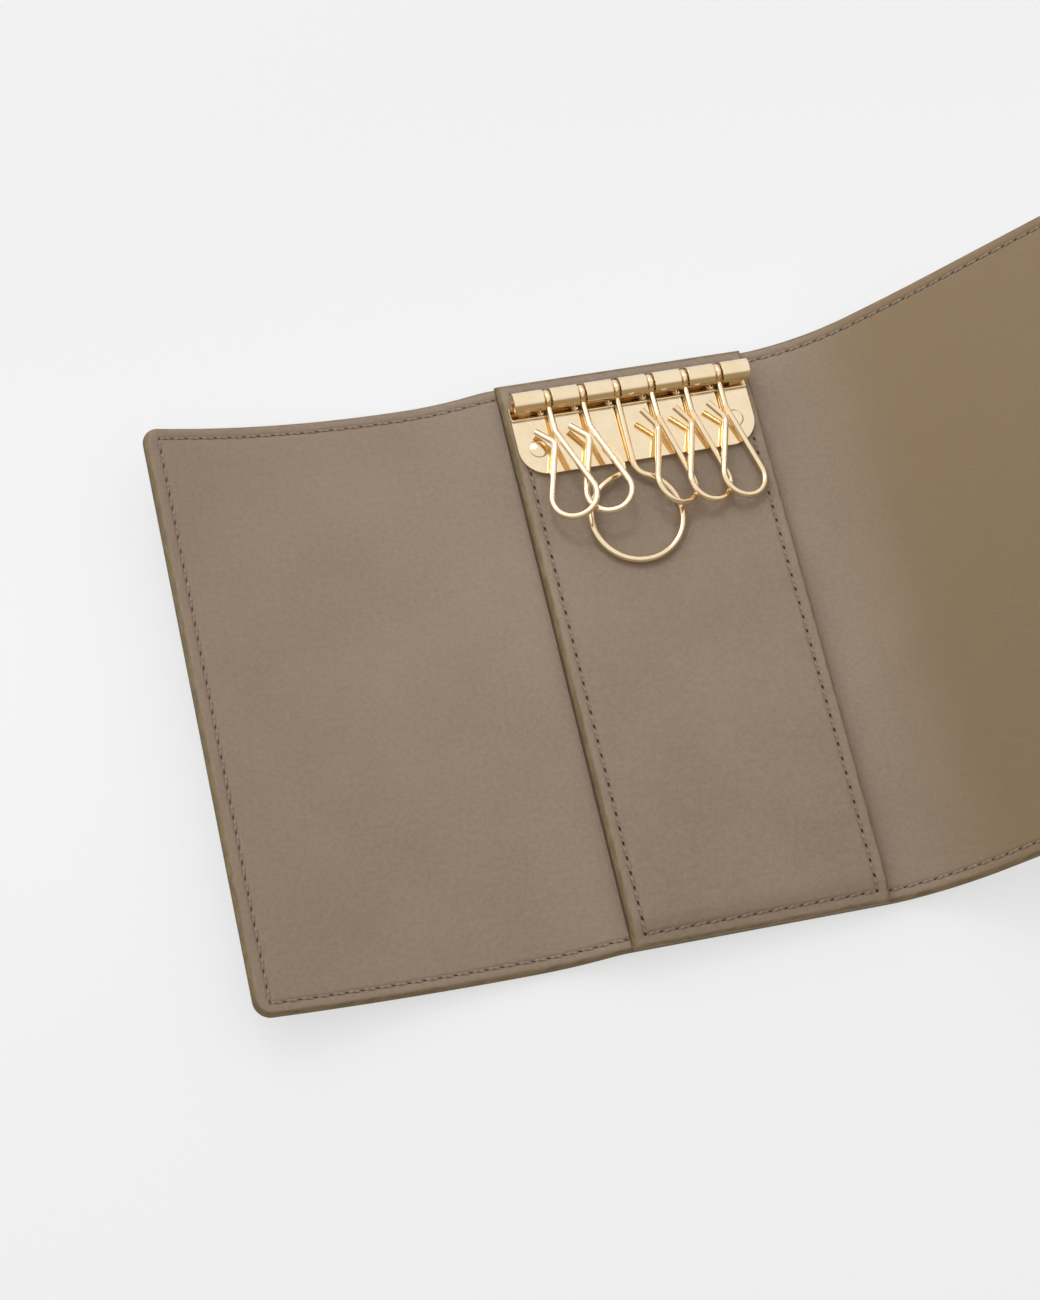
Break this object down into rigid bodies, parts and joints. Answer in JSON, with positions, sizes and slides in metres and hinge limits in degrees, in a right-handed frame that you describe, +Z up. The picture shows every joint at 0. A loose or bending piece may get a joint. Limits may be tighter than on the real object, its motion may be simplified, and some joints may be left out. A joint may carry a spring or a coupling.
{
  "type": "key case",
  "caption": "Three-fold leather key case lying open, with a rolled bar of swinging wire key hooks on a raised panel and flaps that close with a snap.",
  "frame": {"origin": "middle of the open case's footprint, on the table", "axes": "+X across the open case from the left flap to the right, +Y along the folds towards the key bar, +Z up"},
  "size_m": [0.1616, 0.105, 0.0405],
  "materials": {
    "outer_leather": "smooth taupe calfskin with a very fine grain",
    "lining_leather": "smooth taupe calfskin lining, olive painted edges",
    "leather_board": "plain bonded leather board",
    "gold_hardware": "polished pale gold plating",
    "snap_metal": "polished pale gold plating",
    "hidden_metal": "plain pressed brass"
  },
  "bodies": {
    "case_back": {"back_outer": "outer_leather", "back_lining": "lining_leather", "key_panel": "lining_leather", "panel_board": "leather_board", "key_bar": "gold_hardware", "hook_rod": "gold_hardware", "bar_rivets": "gold_hardware", "rivet_washers": "hidden_metal"},
    "left_spine": {"left_spine_outer": "outer_leather", "left_spine_lining": "lining_leather"},
    "left_flap": {"left_flap_outer": "outer_leather", "left_flap_lining": "lining_leather", "snap_stud": "snap_metal", "stud_post": "hidden_metal"},
    "right_spine": {"right_spine_outer": "outer_leather", "right_spine_lining": "lining_leather"},
    "right_flap": {"right_flap_outer": "outer_leather", "right_flap_lining": "lining_leather", "snap_socket": "snap_metal", "snap_cap": "snap_metal"},
    "hook_1": {"key_hook_1": "gold_hardware"},
    "hook_2": {"key_hook_2": "gold_hardware"},
    "ring_hook": {"key_ring_hook": "gold_hardware"},
    "hook_4": {"key_hook_4": "gold_hardware"},
    "hook_5": {"key_hook_5": "gold_hardware"},
    "hook_6": {"key_hook_6": "gold_hardware"}
  },
  "joints": [
    {"name": "left_spine_fold", "type": "hinge", "parent": "case_back", "child": "left_spine", "pos_m": [-0.01936, 0, 0.00439], "axis": [0, 1, 0], "range_deg": [0, 101]},
    {"name": "left_flap_fold", "type": "hinge", "parent": "left_spine", "child": "left_flap", "pos_m": [-0.03361, 0, 0.00228], "axis": [0, 1, 0], "range_deg": [0, 73.56]},
    {"name": "right_spine_fold", "type": "hinge", "parent": "case_back", "child": "right_spine", "pos_m": [0.02889, 0, 0.00221], "axis": [0, -1, 0], "range_deg": [-20, 64]},
    {"name": "right_flap_fold", "type": "hinge", "parent": "right_spine", "child": "right_flap", "pos_m": [0.04592, 0, 0.00959], "axis": [0, -1, 0], "range_deg": [-21.88, 70]},
    {"name": "hook_1_swing", "type": "hinge", "parent": "case_back", "child": "hook_1", "pos_m": [-0.00938, 0.04685, 0.00804], "axis": [-0.999, 0, 0.0451], "range_deg": [0, 171]},
    {"name": "hook_2_swing", "type": "hinge", "parent": "case_back", "child": "hook_2", "pos_m": [-0.00315, 0.04685, 0.00776], "axis": [-0.999, 0, 0.0451], "range_deg": [0, 171]},
    {"name": "ring_hook_swing", "type": "hinge", "parent": "case_back", "child": "ring_hook", "pos_m": [0.00308, 0.04685, 0.00748], "axis": [-0.999, 0, 0.0451], "range_deg": [0, 175]},
    {"name": "hook_4_swing", "type": "hinge", "parent": "case_back", "child": "hook_4", "pos_m": [0.00932, 0.04685, 0.0072], "axis": [-0.999, 0, 0.0451], "range_deg": [0, 174]},
    {"name": "hook_5_swing", "type": "hinge", "parent": "case_back", "child": "hook_5", "pos_m": [0.01555, 0.04685, 0.00692], "axis": [-0.999, 0, 0.0451], "range_deg": [0, 175]},
    {"name": "hook_6_swing", "type": "hinge", "parent": "case_back", "child": "hook_6", "pos_m": [0.02178, 0.04685, 0.00664], "axis": [-0.999, 0, 0.0451], "range_deg": [0, 175]}
  ],
  "couplings": [
    {"joint": "left_flap_fold", "follows": "left_spine_fold", "ratio": 0.7283},
    {"joint": "right_flap_fold", "follows": "right_spine_fold", "ratio": 1.0938}
  ]
}
